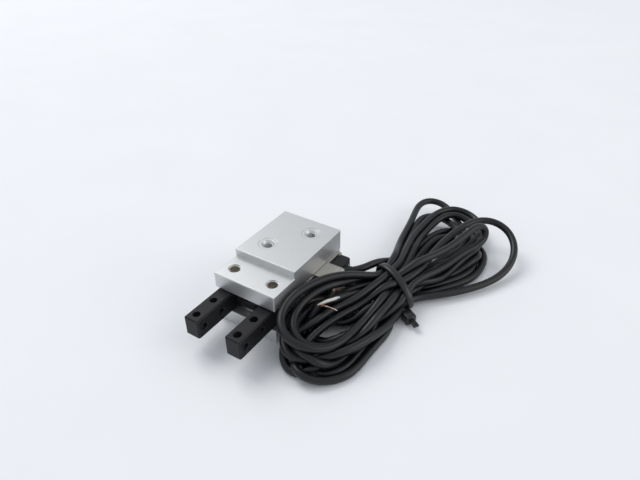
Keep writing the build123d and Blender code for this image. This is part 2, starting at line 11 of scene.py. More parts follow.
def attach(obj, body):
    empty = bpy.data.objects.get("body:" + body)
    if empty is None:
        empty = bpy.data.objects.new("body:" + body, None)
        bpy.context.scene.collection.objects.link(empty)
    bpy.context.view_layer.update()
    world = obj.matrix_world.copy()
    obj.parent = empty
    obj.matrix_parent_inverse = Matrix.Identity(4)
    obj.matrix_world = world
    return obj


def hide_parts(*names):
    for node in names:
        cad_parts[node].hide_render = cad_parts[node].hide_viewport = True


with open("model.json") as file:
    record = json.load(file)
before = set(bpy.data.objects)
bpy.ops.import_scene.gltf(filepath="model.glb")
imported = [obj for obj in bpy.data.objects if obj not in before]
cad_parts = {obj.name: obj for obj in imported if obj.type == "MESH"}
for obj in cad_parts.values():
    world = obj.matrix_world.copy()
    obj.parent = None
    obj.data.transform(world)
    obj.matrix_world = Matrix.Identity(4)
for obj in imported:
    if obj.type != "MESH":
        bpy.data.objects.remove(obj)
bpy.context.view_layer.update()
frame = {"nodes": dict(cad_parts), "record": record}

NODES = frame["nodes"]
MM = 0.001
TINY = 1e-9                            # keeps a division away from zero


def new_object(name, data):
    """An object linked into the scene."""
    piece = bpy.data.objects.new(name, data)
    bpy.context.scene.collection.objects.link(piece)
    return piece


# ---------------------------------------------------------------- camera
CAMERA_AT = (0.11811, -0.1501, 0.16304)
CAMERA_DOWN = math.radians(34.69)      # below the horizon
CAMERA_YAW = math.radians(33.03)       # from +Y towards -X
CAMERA_ROLL = math.radians(0.476)
CAMERA_LENS = 30.85                    # millimetres
SENSOR_WIDTH = 36.0                    # millimetres
CLIP_NEAR, CLIP_FAR = 0.01, 20.0


def make_camera():
    """Camera at the photograph's angle, with no shift and no depth of field."""
    data = bpy.data.cameras.new("camera")
    data.lens = CAMERA_LENS
    data.sensor_width = SENSOR_WIDTH
    data.clip_start = CLIP_NEAR
    data.clip_end = CLIP_FAR
    camera = new_object("camera", data)
    yaw = Matrix.Rotation(CAMERA_YAW, 4, "Z")
    pitch = Matrix.Rotation(math.pi / 2 - CAMERA_DOWN, 4, "X")
    roll = Matrix.Rotation(-CAMERA_ROLL, 4, "Z")
    camera.matrix_world = Matrix.Translation(CAMERA_AT) @ yaw @ pitch @ roll
    bpy.context.scene.camera = camera


make_camera()

# ---------------------------------------------------------------- leads: sizes in millimetres
CABLE_R = 1.7
POINT_GAP = 2.4                        # between two points of a lead
EXIT_XY = (24.782, 19.155)             # end of both sleeves
FIRST_XY = (27.146, 21.002)            # straight out of the sleeve
EXIT_Z = {"lower": 5.15, "upper": 12.95}
ROUTES = {
    "upper": [
        (29.2, 24.4, 13.2), (30.2, 28.8, 13.0), (31.6, 33.4, 11.8), (34.0, 38.2, 9.8), (37.0, 44.0, 7.8)],
    "lower": [
        (29.0, 24.4, 4.6), (29.8, 28.8, 3.9), (31.0, 33.6, 3.1), (33.2, 38.6, 2.5), (36.2, 44.4, 2.3)],
}

# The hank lies along one line through the tie. "across" is at right angles to it, away from the gripper.
HANK_CENTRE = np.array([43.3, 25.0])
HANK_TURN = math.radians(12.1)         # of the line, from +Y towards +X
ALONG = np.array([math.sin(HANK_TURN), math.cos(HANK_TURN)])
ACROSS = np.array([math.cos(HANK_TURN), -math.sin(HANK_TURN)])

# Section of the bundle under the tie, a leaning ellipse with rows of strands in it.
WAIST_Z = 8.0
WAIST_HALF_W = 11.2
WAIST_HALF_H = 6.0
WAIST_ROLL = math.radians(18)
SLOT_ROWS = ((-4.2, 4), (-1.4, 6), (1.5, 5), (4.3, 3))     # height in the section, strands side by side
SLOT_PITCH = 3.5

# Turns before the tie: reach, widths of right and left side, tip across,
# heights of right side, tip and left side.
NEAR_TURNS = {
    "top": (60.0, 12.0, 11.5, -5.0, 7.5, 16.0, 22.5),
    "second": (55.5, 9.0, 11.5, -2.0, 7.0, 11.0, 19.0),
    "edge": (60.5, 10.5, 12.5, -2.0, 6.0, 4.0, 14.0),
    "diagonal": (63.5, 10.0, 7.5, -2.5, 1.7, 1.7, 12.0),
    "outer": (62.5, 9.5, 9.5, 4.5, 1.7, 1.7, 9.5),
    "middle": (59.5, 10.5, 12.5, 0.5, 4.6, 4.6, 9.0),
    "floor": (58.0, 11.0, 10.0, 2.0, 1.7, 1.7, 3.0),
    "third": (57.0, 11.0, 12.0, -1.0, 4.6, 6.0, 12.5),
    "upper_end": (43.0, 6.0, 8.0, -4.0, 4.0, 1.7, 3.0),
    "lower_end": (31.0, 4.0, 8.0, -4.0, 6.0, 6.0, 7.0),
}
# Turns behind the tie: reach, widths of left and right side, tip across,
# heights of left side, tip and right side.
FAR_TURNS = {
    "left_big": (76.5, 5.0, 24.0, -33.0, 8.5, 8.0, 5.0),
    "left_small": (66.0, 3.0, 20.0, -26.0, 7.0, 7.0, 4.0),
    "arc_outer": (77.0, 11.0, 17.0, -13.0, 10.0, 8.0, 5.5),
    "arc_inner": (72.0, 9.0, 16.0, -11.0, 8.0, 7.0, 4.0),
    "first_upper": (66.0, 6.0, 15.0, -7.0, 6.0, 5.0, 3.0),
    "first_lower": (61.0, 6.0, 14.0, -2.0, 3.0, 3.0, 2.0),
    "right_big": (70.5, 8.0, 19.5, 8.5, 15.0, 15.0, 4.0),
    "fold": (62.5, 1.0, 0.5, 10.0, 17.0, 16.0, 11.0),
    "right_low": (60.0, 8.0, 19.0, -3.0, 5.0, 4.0, 2.0),
    "bottom": (57.0, 8.0, 16.0, -2.0, 3.0, 3.0, 1.7),
}
# far turn, its slot on the way back, near turn, its slot on the way out, and so on to the bare end
WINDING = {
    "upper": ["first_upper", 2, "floor", 0, "bottom", 1, "diagonal", 15, "arc_outer", 12,
              "top", 10, "left_big", 7, "third", 16, "fold", 14, "upper_end"],
    "lower": ["first_lower", 6, "middle", 5, "right_low", 3, "outer", 17, "right_big", 9,
              "edge", 11, "arc_inner", 13, "second", 4, "left_small", 8, "lower_end"],
}
END_SHARE = 0.55                       # how much of its last turn a lead makes
END_ROUTES = {                         # from there to where the jacket is stripped
    "upper": [(25.4, -18.0, 3.0), (23.6, -15.4, 6.6), (24.0, -12.6, 10.6), (25.6, -9.6, 14.2)],
    "lower": [(27.0, -9.0, 6.0), (26.2, -6.0, 9.0), (26.3, -2.6, 12.0), (26.4, 0.8, 14.4)],
}
TEARDROP = 0.65                        # lower is fuller beside the tie
TURN_POINTS = 60
TURN_STATIONS = (0, 0.12, 0.3, 0.5, 0.7, 0.88, 1)          # parts of a turn with a height of their own
BULGE_SAMPLES = 200
ENTRY_SHARE = 0.6                      # the first turn starts at this share of the route end's "across"
ENTRY_SKIP = 10.0                      # the first turn starts this far beyond the end of the route
FINE_GAP = 1.0                         # between points while the corners are eased
EASINGS = 20


def waist_slots():
    """Places of the strands under the tie: across and height, row by row."""
    slots = []
    for level, count in SLOT_ROWS:
        for index in range(count):
            side = (index - (count - 1) / 2) * SLOT_PITCH
            across = side * math.cos(WAIST_ROLL) + level * math.sin(WAIST_ROLL)
            height = WAIST_Z - side * math.sin(WAIST_ROLL) + level * math.cos(WAIST_ROLL)
            slots.append((across, height))
    return slots


def turn_points(shape, way, enters, leaves, share=1.0):
    """One teardrop turn from one waist slot to the next. way is 1 behind the tie and -1 before it."""
    reach, first_w, last_w, tip, first_z, tip_z, last_z = shape
    angle = np.linspace(0, math.pi * share, TURN_POINTS)
    part = angle / math.pi
    out = np.sin(angle) ** 2
    bulge = np.sin(2 * angle) * np.sin(angle) ** (2 * TEARDROP)
    whole = np.linspace(0, math.pi, BULGE_SAMPLES)
    bulge /= np.max(np.sin(2 * whole) * np.sin(whole) ** (2 * TEARDROP))
    width = np.where(angle < math.pi / 2, first_w, last_w)
    slot = enters[0] + (leaves[0] - enters[0]) * part
    across = slot * (1 - out) - way * bulge * width + tip * out
    before, after = (enters[1] + first_z) / 2, (leaves[1] + last_z) / 2
    heights = [enters[1], before, first_z, tip_z, last_z, after, leaves[1]]
    flat = HANK_CENTRE + np.outer(way * reach * out, ALONG) + np.outer(across, ACROSS)
    return np.column_stack([flat, np.interp(part, TURN_STATIONS, heights)])


def evenly(points, gap):
    """The same line with its points the same distance apart."""
    travelled = np.r_[0, np.cumsum(np.linalg.norm(np.diff(points, axis=0), axis=1))]
    stations = np.linspace(0, travelled[-1], int(round(travelled[-1] / gap)) + 1)
    return np.column_stack([np.interp(stations, travelled, points[:, axis]) for axis in range(3)])


def softened(points, times):
    """The same line with its corners eased."""
    for _ in range(times):
        points[1:-1] = points[1:-1] / 2 + (points[:-2] + points[2:]) / 4
    return points


def wound_lead(name):
    """A lead as it is wound, before it settles: its free route and then turn after turn of the hank."""
    slots = waist_slots()
    z = EXIT_Z[name]
    route = np.array([(*EXIT_XY, z), (*FIRST_XY, z)] + ROUTES[name])
    runs = [route]
    last = route[-1]
    start = last[:2] - HANK_CENTRE
    enters = (start @ ACROSS * ENTRY_SHARE, last[2])
    plan = WINDING[name]
    for position, item in enumerate(plan):
        if isinstance(item, int):
            enters = slots[item]
            continue
        way = 1 if item in FAR_TURNS else -1
        shape = FAR_TURNS[item] if way > 0 else NEAR_TURNS[item]
        ends = position + 1 == len(plan)
        leaves = enters if ends else slots[plan[position + 1]]
        run = turn_points(shape, way, enters, leaves, END_SHARE if ends else 1.0)
        if position == 0:
            beyond = (run[:, :2] - HANK_CENTRE) @ ALONG > start @ ALONG + ENTRY_SKIP
            run = run[np.argmax(beyond):]
        runs.append(run)
    runs.append(np.array(END_ROUTES[name]))
    return evenly(softened(evenly(np.vstack(runs), FINE_GAP), EASINGS), POINT_GAP)


# ---------------------------------------------------------------- leads settle
SETTLE_STEPS = 500
PINNED = 12                            # points at a lead's exit that stay where they are
PINNED_END = 3                         # points at a lead's stripped end that stay where they are
ROUTED = 22                            # points at a lead's exit that lie outside the tie
SINK = 0.006                           # that each step lowers every point
RECALL_FADING, RECALL_LASTING = 0.02, 0.004    # shares of the way back to the laid shape
LONGEST_MOVE = 0.6                     # of a point in one step
BEND_SHARE = 0.45                      # shares of a correction that are made at once
STRETCH_SHARE = 0.55
WAIST_SHARE = 0.6
CROWDING = 0.6                         # power of a point's number of contacts that divides its moves
PAIR_MARGIN = 1.6                      # beyond touching, within which a pair is watched
PAIR_STEPS = 6                         # steps between two searches for pairs
PAIR_APART = 5                         # points along one lead that are never a pair
WAIST_OPEN = 0.35                      # how much wider the tie starts
WAIST_SPEED = 1.6                      # the tie is closed after 1 / WAIST_SPEED of the steps
WAIST_LENGTH = 4.5                     # the tie holds this far to each side of its middle
KEEP_OUT = [                           # housing, bracket and switches: low and high corner
    ((-15.3, -25.1, 0), (15.5, 25.1, 28)),
    ((15.3, 2.9, 0.5), (24.6, 13.5, 17.6)),
    ((15.3, -1.5, 1.0), (21.9, 23.3, 16.6)),
]
JAW_SWEEP_Z = (7.6, 16.8)              # what the right jaw passes through when it opens
JAW_SWEEP_Y = (-47.0, -24.0)
JAW_OPEN_SLOPE = 0.267                 # tangent of the widest opening, about 15 degrees
JAW_OUTER_X = 15.9
HOUSING_FRONT_Y = -25.1
JAW_CLEARANCE = 0.5


class Leads:
    """Both leads as chains of points that bend, push and keep their length, for a fixed number of steps."""

    def __init__(self, chains):
        lengths = [len(chain) for chain in chains]
        self.at = np.vstack(chains)
        self.laid = self.at.copy()
        self.starts = np.r_[0, np.cumsum(lengths)]
        self.owner = np.repeat(np.arange(len(chains)), lengths)
        self.links = np.flatnonzero(self.owner[1:] == self.owner[:-1])
        self.rest = self.span_lengths()
        self.inner = 1 + np.flatnonzero(self.owner[2:] == self.owner[:-2])
        self.pinned = np.zeros(len(self.at), bool)
        self.routed = np.zeros(len(self.at), bool)
        for start in self.starts[:-1]:
            self.pinned[start:start + PINNED] = True
            self.routed[start:start + ROUTED] = True
        for stop in self.starts[1:]:
            self.pinned[stop - PINNED_END:stop] = True
        self.pairs = None

    def span_lengths(self):
        return np.linalg.norm(self.at[self.links + 1] - self.at[self.links], axis=1)

    def bend(self):
        """Even out the curvature, as a stiff jacket does."""
        for _ in range(2):
            sag = np.zeros_like(self.at)
            middle = (self.at[self.inner - 1] + self.at[self.inner + 1]) / 2
            sag[self.inner] = middle - self.at[self.inner]
            change = (sag[self.inner - 1] + sag[self.inner + 1]) / 2 - sag[self.inner]
            self.at[self.inner] -= BEND_SHARE * change

    def find_pairs(self):
        """Pairs of points that may touch and aren't neighbours along a lead."""
        square = (self.at ** 2).sum(1)
        gap_squared = square[:, None] + square[None, :] - 2 * self.at @ self.at.T
        first, second = np.nonzero(np.triu(gap_squared < (2 * CABLE_R + PAIR_MARGIN) ** 2, 1))
        apart = (second - first > PAIR_APART) | (self.owner[first] != self.owner[second])
        self.pairs = (first[apart], second[apart])

    def push_apart(self):
        """Points of a pair closer than the lead's width move away from each other."""
        first, second = self.pairs
        between = self.at[second] - self.at[first]
        gap = np.linalg.norm(between, axis=1) + TINY
        hit = gap < 2 * CABLE_R
        first, second = first[hit], second[hit]
        push = between[hit] / gap[hit, None] * ((2 * CABLE_R - gap[hit]) / 2)[:, None]
        moves = np.zeros_like(self.at)
        counts = np.zeros(len(self.at))
        np.add.at(moves, first, -push)
        np.add.at(moves, second, push)
        np.add.at(counts, first, 1)
        np.add.at(counts, second, 1)
        self.at += moves / np.maximum(counts, 1)[:, None] ** CROWDING

    def keep_length(self):
        """Neighbours along a lead go back to the distance they were laid at."""
        for _ in range(3):
            span = self.at[self.links + 1] - self.at[self.links]
            length = np.linalg.norm(span, axis=1) + TINY
            move = span / length[:, None] * ((length - self.rest) / 2)[:, None]
            moves = np.zeros_like(self.at)
            np.add.at(moves, self.links, move)
            np.add.at(moves, self.links + 1, -move)
            self.at += moves * STRETCH_SHARE

    def squeeze_waist(self, done):
        """The tie closes on the bundle as the leads settle."""
        flat = self.at[:, :2] - HANK_CENTRE
        along, across = flat @ ALONG, flat @ ACROSS
        height = self.at[:, 2] - WAIST_Z
        cosine, sine = math.cos(WAIST_ROLL), math.sin(WAIST_ROLL)
        wide = across * cosine - height * sine
        tall = across * sine + height * cosine
        open_by = 1 + WAIST_OPEN * (1 - min(done * WAIST_SPEED, 1))
        half_w = (WAIST_HALF_W - CABLE_R) * open_by
        half_h = (WAIST_HALF_H - CABLE_R) * open_by
        ratio = np.sqrt((wide / half_w) ** 2 + (tall / half_h) ** 2)
        out = (np.abs(along) < WAIST_LENGTH) & ~self.routed & (ratio > 1)
        back = 1 - (1 - 1 / ratio[out]) * WAIST_SHARE
        wide, tall = wide[out] * back, tall[out] * back
        across = wide * cosine + tall * sine
        self.at[out, :2] = HANK_CENTRE + np.outer(along[out], ALONG) + np.outer(across, ACROSS)
        self.at[out, 2] = WAIST_Z - wide * sine + tall * cosine

    def keep_out(self):
        """Nothing goes into the gripper, its jaws' sweep or the floor."""
        for low, high in KEEP_OUT:
            low, high = np.array(low) - CABLE_R, np.array(high) + CABLE_R
            inside = np.flatnonzero(np.all((self.at > low) & (self.at < high), axis=1))
            depth = np.concatenate([self.at[inside] - low, high - self.at[inside]], axis=1)
            depth[:, 2] = np.inf                       # never out through the bottom
            for point, face in zip(inside, depth.argmin(axis=1)):
                self.at[point, face % 3] = low[face] if face < 3 else high[face - 3]
        x, y, z = self.at.T
        level = (z > JAW_SWEEP_Z[0] - CABLE_R) & (z < JAW_SWEEP_Z[1] + CABLE_R)
        limit = JAW_OUTER_X + (HOUSING_FRONT_Y - y) * JAW_OPEN_SLOPE + CABLE_R + JAW_CLEARANCE
        swept = level & (y > JAW_SWEEP_Y[0]) & (y < JAW_SWEEP_Y[1]) & (x < limit)
        self.at[swept, 0] = limit[swept]
        self.at[:, 2] = np.maximum(self.at[:, 2], CABLE_R)

    def settle(self):
        """Runs all steps and gives each lead's points."""
        for step in range(SETTLE_STEPS):
            done = step / SETTLE_STEPS
            before = self.at.copy()
            self.at[:, 2] -= SINK
            self.at += (self.laid - self.at) * (RECALL_FADING * (1 - done) ** 2 + RECALL_LASTING)
            self.bend()
            if step % PAIR_STEPS == 0:
                self.find_pairs()
            for _ in range(2):
                self.push_apart()
                self.keep_length()
            self.squeeze_waist(done)
            self.keep_out()
            self.at[self.pinned] = self.laid[self.pinned]
            moved = self.at - before
            far = np.linalg.norm(moved, axis=1)
            share = np.where(far > LONGEST_MOVE, LONGEST_MOVE / np.maximum(far, TINY), 1)
            self.at = before + moved * share[:, None]
        return [self.at[a:b] for a, b in zip(self.starts, self.starts[1:])]


BARE_SHARE = 0.5                       # of a conductor's radius that is left where it is stripped


def tube_piece(name, places, radius, ring_steps, span_steps, stripped_at=math.inf):
    """One open NURBS spline with a round section, thinner from the share stripped_at of its points on."""
    data = bpy.data.curves.new(name, "CURVE")
    data.dimensions = "3D"
    data.bevel_depth = radius * MM
    data.bevel_resolution = ring_steps
    data.resolution_u = span_steps
    data.use_fill_caps = True
    spline = data.splines.new("NURBS")
    spline.points.add(len(places) - 1)
    for index, (point, place) in enumerate(zip(spline.points, places)):
        point.co = (*(float(value) * MM for value in place), 1.0)
        if index / (len(places) - 1) >= stripped_at:
            point.radius = BARE_SHARE
    spline.order_u = 3
    spline.use_endpoint_u = True
    return new_object(name, data)


NAMES = ("upper", "lower")
settled = Leads([wound_lead(name) for name in NAMES]).settle()
LEADS = dict(zip(NAMES, settled))
CORDS = {
    name: tube_piece(f"cord_{name}", LEADS[name], CABLE_R, ring_steps=5, span_steps=3)
    for name in NAMES}

# ---------------------------------------------------------------- materials
MIX_FIRST, MIX_SECOND, MIX_RESULT = 6, 7, 2      # colour sockets of the mix node
EDGE_NONE, EDGE_FULL = 0.995, 0.86               # cosine between the true and the rounded normal
EDGE_SAMPLES = 6


def scaled(colour, factor):
    """The colour times a factor."""
    return tuple(factor * part for part in colour)


class Paint:
    """One procedural material: a Principled shader fed by noise, edge wear, painted edge highlights and
    bumps in object space.
    """

    def __init__(self, name, metallic=0.0):
        self.material = bpy.data.materials.new(name)
        self.material.use_nodes = True
        self.nodes = self.material.node_tree.nodes
        self.links = self.material.node_tree.links
        self.shader = self.nodes["Principled BSDF"]
        self.shader.inputs["Metallic"].default_value = metallic
        self.place = self.nodes.new("ShaderNodeTexCoord").outputs["Object"]
        self.normal = None

    def feed(self, socket, value):
        """Links a socket to another one, or sets it to a number or a colour."""
        if isinstance(value, bpy.types.NodeSocket):
            self.links.new(value, socket)
        elif isinstance(value, tuple):
            socket.default_value = (*value, 1.0)
        else:
            socket.default_value = value

    def noise(self, grain, detail=3.0, stretch=(1, 1, 1)):
        """Noise with grains of that size in millimetres, longer where stretch is below 1."""
        mapping = self.nodes.new("ShaderNodeMapping")
        mapping.inputs["Scale"].default_value = stretch
        self.feed(mapping.inputs["Vector"], self.place)
        noise = self.nodes.new("ShaderNodeTexNoise")
        noise.inputs["Scale"].default_value = 1 / (grain * MM)
        noise.inputs["Detail"].default_value = detail
        self.feed(noise.inputs["Vector"], mapping.outputs["Vector"])
        return noise.outputs["Fac"]

    def spread(self, value, start=0.3, end=0.7, low=0.0, high=1.0):
        """low where value is at start, high where it is at end. The usual start and end suit noise."""
        node = self.nodes.new("ShaderNodeMapRange")
        node.inputs["From Min"].default_value = start
        node.inputs["From Max"].default_value = end
        node.inputs["To Min"].default_value = low
        node.inputs["To Max"].default_value = high
        self.feed(node.inputs["Value"], value)
        return node.outputs["Result"]

    def product(self, first, second):
        """The two values multiplied."""
        node = self.nodes.new("ShaderNodeMath")
        node.operation = "MULTIPLY"
        self.feed(node.inputs[0], first)
        self.feed(node.inputs[1], second)
        return node.outputs["Value"]

    def blend(self, share, first, second):
        """Colour between first and second."""
        node = self.nodes.new("ShaderNodeMix")
        node.data_type = "RGBA"
        self.feed(node.inputs["Factor"], share)
        self.feed(node.inputs[MIX_FIRST], first)
        self.feed(node.inputs[MIX_SECOND], second)
        return node.outputs[MIX_RESULT]

    def edges(self, radius):
        """1 along edges, 0 on open faces. It also rounds the edges off in the light."""
        bevel = self.nodes.new("ShaderNodeBevel")
        bevel.samples = EDGE_SAMPLES
        bevel.inputs["Radius"].default_value = radius * MM
        self.normal = bevel.outputs["Normal"]
        true_normal = self.nodes.new("ShaderNodeNewGeometry").outputs["Normal"]
        turn = self.nodes.new("ShaderNodeVectorMath")
        turn.operation = "DOT_PRODUCT"
        self.feed(turn.inputs[0], self.normal)
        self.feed(turn.inputs[1], true_normal)
        return self.spread(turn.outputs["Value"], EDGE_NONE, EDGE_FULL)

    def distance(self, x, y):
        """Distance from an upright line, in metres."""
        node = self.nodes.new("ShaderNodeVectorMath")
        node.operation = "MULTIPLY_ADD"
        node.inputs[1].default_value = (1, 1, 0)
        node.inputs[2].default_value = (-x * MM, -y * MM, 0)
        self.feed(node.inputs[0], self.place)
        length = self.nodes.new("ShaderNodeVectorMath")
        length.operation = "LENGTH"
        self.feed(length.inputs[0], node.outputs["Vector"])
        return length.outputs["Value"]

    def bump(self, height, depth):
        """Raises the surface by depth millimetres where height is 1."""
        node = self.nodes.new("ShaderNodeBump")
        node.inputs["Distance"].default_value = depth * MM
        self.feed(node.inputs["Height"], height)
        if self.normal is not None:
            self.feed(node.inputs["Normal"], self.normal)
        self.normal = node.outputs["Normal"]

    def done(self, colour, roughness, **levels):
        """Feeds the shader and gives the material."""
        self.feed(self.shader.inputs["Base Color"], colour)
        self.feed(self.shader.inputs["Roughness"], roughness)
        for name, value in levels.items():
            self.feed(self.shader.inputs[name.replace("_", " ")], value)
        if self.normal is not None:
            self.feed(self.shader.inputs["Normal"], self.normal)
        return self.material


TOP_HOLES = ((-5.7, -0.6), (5.7, 15.7))          # tapped holes on the broad face
RING_R = 4.25                                    # faint ring round each of them
RING_SOFT = 0.35                                 # how far it fades to each side


def anodised():
    """Bead-blasted clear anodise with a fine grain, handling marks, a faint ring round each hole, and
    lighter edges that are partly wear and partly a painted highlight.
    """
    paint = Paint("anodised", metallic=0.8)
    edge = paint.edges(0.25)
    grain = paint.noise(0.16, 2.0)
    cloud = paint.noise(7.0, 4.0)
    dark, light, stain, ring_tone, edge_wear_and_highlight_tone = (
        (0.62, 0.63, 0.63), (0.76, 0.77, 0.765), (0.52, 0.52, 0.51), (0.38, 0.38, 0.37), (0.86, 0.87, 0.88))
    colour = paint.blend(paint.spread(grain), dark, light)
    colour = paint.blend(paint.spread(cloud, 0.35, 0.75, high=0.35), colour, stain)
    for x, y in TOP_HOLES:
        radius = paint.distance(x, y)
        ring = paint.product(
            paint.spread(radius, (RING_R - RING_SOFT) * MM, RING_R * MM),
            paint.spread(radius, (RING_R + RING_SOFT) * MM, RING_R * MM))
        colour = paint.blend(paint.product(ring, 0.45), colour, ring_tone)
    # Edges painted lighter: partly edge wear, partly a painted highlight.
    colour = paint.blend(paint.product(edge, 0.7), colour, edge_wear_and_highlight_tone)
    paint.bump(grain, 0.012)
    return paint.done(colour, paint.spread(cloud, 0.2, 0.8, 0.34, 0.44))


def black_steel():
    """Black oxide over milled steel, rubbed lighter along the edges."""
    paint = Paint("black_steel")
    edge = paint.edges(0.3)
    grain = paint.noise(0.22, 3.0)
    lines = paint.noise(0.35, 2.0, stretch=(1, 0.06, 1))
    dark, light, worn_tone = (0.006, 0.006, 0.008), (0.014, 0.014, 0.016), (0.10, 0.10, 0.11)
    colour = paint.blend(paint.spread(grain), dark, light)
    wear = paint.product(edge, paint.spread(grain, 0.3, 0.6, low=0.4))
    colour = paint.blend(wear, colour, worn_tone)
    paint.bump(lines, 0.008)
    paint.bump(grain, 0.008)
    return paint.done(colour, paint.spread(grain, low=0.42, high=0.56), Specular_IOR_Level=0.25)


def pin_steel():
    """Dark bronze-brown oiled pin ends, speckled, with a light ring at the rim."""
    paint = Paint("pin_steel", metallic=0.8)
    edge = paint.edges(0.35)
    speckle = paint.noise(0.35, 5.0)
    dark, light, rim_tone = (0.022, 0.018, 0.014), (0.12, 0.10, 0.075), (0.42, 0.38, 0.32)
    colour = paint.blend(paint.spread(speckle, 0.46, 0.60), dark, light)
    colour = paint.blend(edge, colour, rim_tone)
    paint.bump(speckle, 0.03)
    return paint.done(colour, paint.spread(speckle, 0.4, 0.7, 0.5, 0.3))


def turned_metal(name, dark, light, roughness, grain=0.2, stretch=(0.08, 1, 1)):
    """Bare metal with fine tool marks along one direction, and a painted highlight along its edges."""
    paint = Paint(name, metallic=1.0)
    edge = paint.edges(0.12)
    marks = paint.noise(grain, 3.0, stretch=stretch)
    cloud = paint.noise(3.0, 3.0)
    colour = paint.blend(paint.spread(marks), dark, light)
    # Painted highlight: the edges are painted lighter than the metal.
    colour = paint.blend(paint.product(edge, 0.5), colour, scaled(light, 1.25))
    paint.bump(marks, 0.006)
    return paint.done(colour, paint.spread(cloud, low=roughness - 0.05, high=roughness + 0.07))


def moulded(name, dark, light, roughness, depth=0.01, grain=0.25, **levels):
    """Moulded plastic or rubber with a fine skin, and a painted highlight along its edges."""
    paint = Paint(name)
    edge = paint.edges(0.15)
    skin = paint.noise(grain, 3.0)
    cloud = paint.noise(5.0, 4.0)
    colour = paint.blend(paint.spread(cloud), dark, light)
    # Painted highlight: the edges are painted lighter than the surface.
    colour = paint.blend(paint.product(edge, 0.35), colour, scaled(light, 2))
    paint.bump(skin, depth)
    return paint.done(colour, paint.spread(skin, low=roughness - 0.05, high=roughness + 0.06), **levels)


def magnet():
    """Bonded ferrite with pale specks."""
    paint = Paint("magnet", metallic=0.3)
    specks = paint.noise(0.25, 4.0)
    dark, light = (0.06, 0.06, 0.065), (0.16, 0.16, 0.17)
    colour = paint.blend(paint.spread(specks, 0.55), dark, light)
    paint.bump(specks, 0.015)
    return paint.done(colour, 0.55)


STRIP_SOFT = 0.01                                # half the length of the change to bare wire, as a share


def conductor(name, insulated, bare, start, end, strip_at):
    """Insulation up to strip_at of the way from start to end, and bare twisted wire beyond it."""
    paint = Paint(name)
    run = Vector(end) - Vector(start)
    along = paint.nodes.new("ShaderNodeVectorMath")
    along.operation = "DOT_PRODUCT"
    along.inputs[1].default_value = run / run.length_squared / MM
    paint.feed(along.inputs[0], paint.place)
    offset = Vector(start).dot(run) / run.length_squared
    edge_of_jacket = offset + strip_at
    share = paint.spread(along.outputs["Value"], edge_of_jacket - STRIP_SOFT, edge_of_jacket + STRIP_SOFT)
    grain = paint.noise(0.3, 3.0)
    skin = paint.blend(paint.spread(grain), insulated, scaled(insulated, 0.8))
    wire = paint.blend(paint.spread(grain, 0.4, 0.6), bare, scaled(bare, 0.55))
    paint.bump(grain, 0.01)
    paint.feed(paint.shader.inputs["Metallic"], share)
    return paint.done(paint.blend(share, skin, wire), paint.spread(share, 0, 1, 0.45, 0.3))


MATERIALS = {                                    # by the record's material slots
    "anodised": anodised(),
    "black_steel": black_steel(),
    "pin_steel": pin_steel(),
    "bronze": turned_metal("bronze", (0.42, 0.27, 0.13), (0.60, 0.42, 0.22), 0.38),
    "steel": turned_metal("steel", (0.46, 0.46, 0.46), (0.64, 0.64, 0.63), 0.28),
    "spring_steel": turned_metal("spring_steel", (0.16, 0.155, 0.15), (0.28, 0.27, 0.26), 0.42),
    "piston_alloy": turned_metal("piston_alloy", (0.62, 0.63, 0.64), (0.78, 0.79, 0.80), 0.32),
    "bracket_steel": turned_metal(
        "bracket_steel", (0.40, 0.385, 0.355), (0.56, 0.54, 0.50), 0.34, 0.25, stretch=(1, 0.03, 1)),
    "magnet": magnet(),
    "seal_rubber": moulded("seal_rubber", (0.018, 0.018, 0.018), (0.032, 0.032, 0.032), 0.55),
    "switch_plastic": moulded(
        "switch_plastic", (0.008, 0.009, 0.0105), (0.013, 0.0145, 0.0165), 0.42, Specular_IOR_Level=0.35),
    "lamp_plastic": moulded("lamp_plastic", (0.35, 0.02, 0.015), (0.5, 0.035, 0.02), 0.2),
    "cable_jacket": moulded(
        "cable_jacket", (0.0032, 0.0036, 0.0046), (0.0065, 0.0072, 0.0088), 0.38, 0.012, 0.4,
        Specular_IOR_Level=0.45),
    "tie_nylon": moulded("tie_nylon", (0.009, 0.009, 0.010), (0.015, 0.015, 0.017), 0.30, 0.006, 0.5),
    "core_insulation": moulded("core_insulation", (0.72, 0.68, 0.60), (0.84, 0.81, 0.74), 0.42),
}


def coat(piece, material):
    """Gives a piece one material."""
    piece.data.materials.clear()
    piece.data.materials.append(material)


for subpart in frame["record"]["subparts"]:
    coat(NODES[subpart["node"]], MATERIALS[subpart["material_slot"]])


# ---------------------------------------------------------------- tie, conductors and threads
def mesh_piece(name, shape):
    """A smooth-shaded mesh piece from a bmesh, in metres."""
    data = bpy.data.meshes.new(name)
    bmesh.ops.recalc_face_normals(shape, faces=shape.faces)
    shape.to_mesh(data)
    shape.free()
    data.polygons.foreach_set("use_smooth", [True] * len(data.polygons))
    return new_object(name, data)


def box_piece(name, size, place, rounding, segments=3):
    """A box with rounded edges."""
    shape = bmesh.new()
    bmesh.ops.create_cube(shape, size=1.0)
    bmesh.ops.scale(shape, vec=Vector(size) * MM, verts=shape.verts)
    bmesh.ops.bevel(
        shape, geom=list(shape.edges), offset=rounding * MM, segments=segments, profile=0.5, affect="EDGES")
    bmesh.ops.transform(shape, matrix=place, verts=shape.verts)
    return mesh_piece(name, shape)


STRAP_WIDTH = 3.6
STRAP_THICKNESS = 1.2
STRAP_ANGLE = math.radians(25)
STRAP_STEPS = 120
STRAP_SECTION = (                                # width and height of a flat band with rounded edges
    (-0.50, 0.25), (-0.47, 0.6), (-0.38, 0.86), (-0.30, 1.0), (0.30, 1.0), (0.38, 0.86), (0.47, 0.6),
    (0.50, 0.25), (0.46, 0.0), (-0.46, 0.0))


